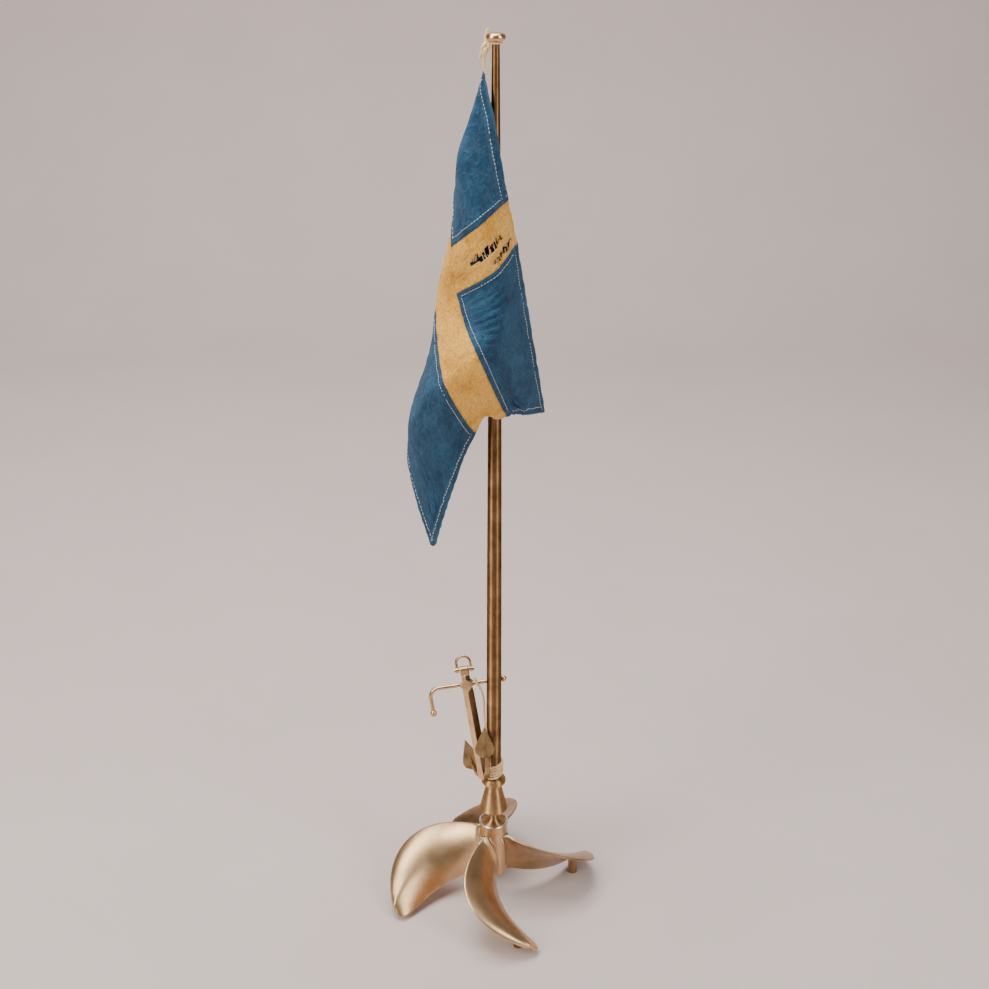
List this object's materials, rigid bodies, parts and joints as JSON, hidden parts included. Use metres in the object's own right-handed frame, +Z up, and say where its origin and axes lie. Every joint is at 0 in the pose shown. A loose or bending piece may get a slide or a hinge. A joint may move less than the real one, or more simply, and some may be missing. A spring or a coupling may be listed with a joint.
{
  "type": "desk flag stand",
  "caption": "Table flag stand: a propeller foot carries a tapered pole with a truck, a limp cross flag tied at the top and a small stocked anchor lashed at the foot.",
  "frame": {"origin": "pole axis on the table plane under the feet", "axes": "+Z up along the pole, +X to the right and -Y to the front as the stand is seen from the front"},
  "size_m": [0.1592, 0.1603, 0.646],
  "materials": {
    "propeller_bronze": "satin",
    "turned_brass": "polished, a little dull",
    "pole_brass": "aged, satin",
    "anchor_brass": "worn, polished",
    "white_metal": "satin",
    "blue_cotton": "matt plain weave",
    "yellow_cotton": "matt plain weave",
    "twine": "matt twisted cotton"
  },
  "bodies": {
    "stand": {"propeller_hub": "propeller_bronze", "blade_1": "propeller_bronze", "blade_2": "propeller_bronze", "blade_3": "propeller_bronze", "blade_4": "propeller_bronze", "foot_peg_1": "pole_brass", "foot_peg_2": "pole_brass", "foot_peg_3": "pole_brass", "foot_peg_4": "pole_brass", "hub_washer": "white_metal", "tie_stud": "white_metal", "base_washer": "white_metal", "base_nut": "white_metal", "coupling": "turned_brass", "pole_collar": "turned_brass", "flag_pole": "pole_brass", "truck": "turned_brass", "truck_screw": "white_metal", "anchor_shank": "anchor_brass", "anchor_arms": "anchor_brass", "fluke_near": "anchor_brass", "fluke_far": "anchor_brass", "anchor_twine": "twine", "pole_lashing": "twine"},
    "flag": {"canton_upper_hoist": "blue_cotton", "canton_upper_fly": "blue_cotton", "canton_lower_fly": "blue_cotton", "canton_lower_hoist": "blue_cotton", "cross_bar": "yellow_cotton", "cross_arm_upper": "yellow_cotton", "cross_arm_lower": "yellow_cotton", "head_tie_loop": "twine", "head_tie_knot": "twine"},
    "shackle": {"anchor_shackle": "anchor_brass", "shackle_pin": "anchor_brass"},
    "stock_slider": {"stock_ball": "anchor_brass"},
    "stock": {"anchor_stock": "anchor_brass"}
  },
  "joints": [
    {"name": "flag_swivel", "type": "hinge", "parent": "stand", "child": "flag", "pos_m": [0, 0, 0.636], "axis": [0, 0, 1], "continuous": true},
    {"name": "shackle_swing", "type": "hinge", "parent": "stand", "child": "shackle", "pos_m": [-0.022, 0.01079, 0.19307], "axis": [0.9848, 0, 0.1736], "range_deg": [-100, 100]},
    {"name": "stock_slide", "type": "slide", "parent": "stand", "child": "stock_slider", "axis": [0.9848, 0, 0.1736], "range_m": [-0.014, 0.015]},
    {"name": "stock_turn", "type": "hinge", "parent": "stock_slider", "child": "stock", "pos_m": [-0.02004, 0.0086, 0.18195], "axis": [0.9848, 0, 0.1736], "continuous": true}
  ]
}
